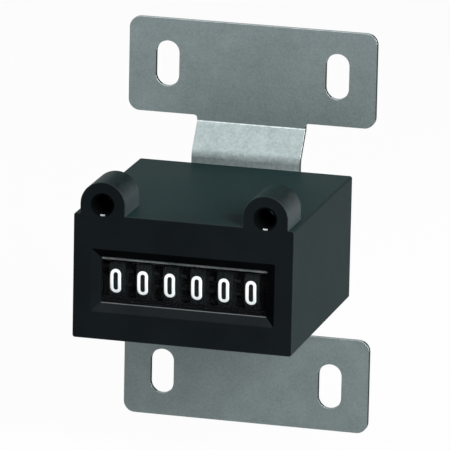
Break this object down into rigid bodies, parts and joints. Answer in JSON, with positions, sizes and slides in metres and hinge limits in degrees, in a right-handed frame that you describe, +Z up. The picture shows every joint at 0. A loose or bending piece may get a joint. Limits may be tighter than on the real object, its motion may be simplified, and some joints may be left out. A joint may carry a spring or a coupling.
{
  "type": "base mount counter",
  "caption": "Electromechanical counter with a windowed row of number wheels in a black case, on a slotted steel bracket for mounting against a flat surface.",
  "frame": {"origin": "middle of the four bracket slots, on the plane that the flanges are screwed to", "axes": "+Z up the long way of the bracket, -Y the way the figures face, +X to the reader's right"},
  "size_m": [0.051, 0.0508, 0.0824],
  "materials": {
    "bracket_zinc": "bright zinc plate, fine speckle",
    "case_black": "moulded, lightly textured",
    "cover_black": "moulded",
    "lens_clear": "clear moulded plastic",
    "mask_black": "matt black sheet",
    "grommet_rubber": "moulded rubber",
    "screw_zinc": "zinc plated",
    "frame_steel": "zinc plated sheet",
    "shaft_steel": "ground steel",
    "spacer_brass": "turned",
    "wheel_black": "moulded, white figures",
    "moulding_white": "natural acetal",
    "iron_plated": "plated soft iron",
    "spring_steel": "spring wire",
    "winding_copper": "enamelled copper wire",
    "pin_tinned": "tinned"
  },
  "bodies": {
    "housing": {"mounting_bracket": "bracket_zinc", "case_shell": "case_black", "rear_cover": "cover_black", "window_lens": "lens_clear", "figure_mask": "mask_black", "lead_grommet": "grommet_rubber", "bracket_screws": "screw_zinc", "movement_frame": "frame_steel", "wheel_shaft": "shaft_steel", "pinion_shaft": "shaft_steel", "armature_shaft": "shaft_steel", "left_spacer": "spacer_brass", "right_spacer": "spacer_brass", "armature_spring": "spring_steel", "magnet_core": "iron_plated", "coil_bobbin": "moulding_white", "coil_winding": "winding_copper", "magnet_yoke": "iron_plated", "terminal_pins": "pin_tinned"},
    "units_wheel": {"units_wheel": "wheel_black"},
    "tens_wheel": {"tens_wheel": "wheel_black"},
    "tens_pinion": {"tens_pinion": "moulding_white"},
    "hundreds_wheel": {"hundreds_wheel": "wheel_black"},
    "hundreds_pinion": {"hundreds_pinion": "moulding_white"},
    "thousands_wheel": {"thousands_wheel": "wheel_black"},
    "thousands_pinion": {"thousands_pinion": "moulding_white"},
    "ten_thousands_wheel": {"ten_thousands_wheel": "wheel_black"},
    "ten_thousands_pinion": {"ten_thousands_pinion": "moulding_white"},
    "hundred_thousands_wheel": {"hundred_thousands_wheel": "wheel_black"},
    "hundred_thousands_pinion": {"hundred_thousands_pinion": "moulding_white"},
    "armature": {"verge": "moulding_white", "armature_plate": "iron_plated"}
  },
  "joints": [
    {"name": "units_wheel_turn", "type": "hinge", "parent": "housing", "child": "units_wheel", "pos_m": [0, -0.0378, -0.0002], "axis": [1, 0, 0], "continuous": true},
    {"name": "tens_wheel_turn", "type": "hinge", "parent": "housing", "child": "tens_wheel", "pos_m": [0, -0.0378, -0.0002], "axis": [1, 0, 0], "continuous": true},
    {"name": "tens_pinion_turn", "type": "hinge", "parent": "housing", "child": "tens_pinion", "pos_m": [0, -0.02861, -0.0066], "axis": [1, 0, 0], "continuous": true},
    {"name": "hundreds_wheel_turn", "type": "hinge", "parent": "housing", "child": "hundreds_wheel", "pos_m": [0, -0.0378, -0.0002], "axis": [1, 0, 0], "continuous": true},
    {"name": "hundreds_pinion_turn", "type": "hinge", "parent": "housing", "child": "hundreds_pinion", "pos_m": [0, -0.02861, -0.0066], "axis": [1, 0, 0], "continuous": true},
    {"name": "thousands_wheel_turn", "type": "hinge", "parent": "housing", "child": "thousands_wheel", "pos_m": [0, -0.0378, -0.0002], "axis": [1, 0, 0], "continuous": true},
    {"name": "thousands_pinion_turn", "type": "hinge", "parent": "housing", "child": "thousands_pinion", "pos_m": [0, -0.02861, -0.0066], "axis": [1, 0, 0], "continuous": true},
    {"name": "ten_thousands_wheel_turn", "type": "hinge", "parent": "housing", "child": "ten_thousands_wheel", "pos_m": [0, -0.0378, -0.0002], "axis": [1, 0, 0], "continuous": true},
    {"name": "ten_thousands_pinion_turn", "type": "hinge", "parent": "housing", "child": "ten_thousands_pinion", "pos_m": [0, -0.02861, -0.0066], "axis": [1, 0, 0], "continuous": true},
    {"name": "hundred_thousands_wheel_turn", "type": "hinge", "parent": "housing", "child": "hundred_thousands_wheel", "pos_m": [0, -0.0378, -0.0002], "axis": [1, 0, 0], "continuous": true},
    {"name": "hundred_thousands_pinion_turn", "type": "hinge", "parent": "housing", "child": "hundred_thousands_pinion", "pos_m": [0, -0.02861, -0.0066], "axis": [1, 0, 0], "continuous": true},
    {"name": "armature_swing", "type": "hinge", "parent": "housing", "child": "armature", "pos_m": [0, -0.0242, 0.0092], "axis": [1, 0, 0], "range_deg": [0, 4.5], "stiffness_Nm_per_rad": 0.0034, "springref_deg": -17.19, "deforming": ["armature_spring"]}
  ],
  "couplings": [
    {"joint": "tens_wheel_turn", "follows": "units_wheel_turn", "ratio": 0.1},
    {"joint": "tens_pinion_turn", "follows": "units_wheel_turn", "ratio": -0.25},
    {"joint": "hundreds_wheel_turn", "follows": "units_wheel_turn", "ratio": 0.01},
    {"joint": "hundreds_pinion_turn", "follows": "units_wheel_turn", "ratio": -0.025},
    {"joint": "thousands_wheel_turn", "follows": "units_wheel_turn", "ratio": 0.001},
    {"joint": "thousands_pinion_turn", "follows": "units_wheel_turn", "ratio": -0.0025},
    {"joint": "ten_thousands_wheel_turn", "follows": "units_wheel_turn", "ratio": 0.0001},
    {"joint": "ten_thousands_pinion_turn", "follows": "units_wheel_turn", "ratio": -0.00025},
    {"joint": "hundred_thousands_wheel_turn", "follows": "units_wheel_turn", "ratio": 0.00001},
    {"joint": "hundred_thousands_pinion_turn", "follows": "units_wheel_turn", "ratio": -0.000025}
  ]
}
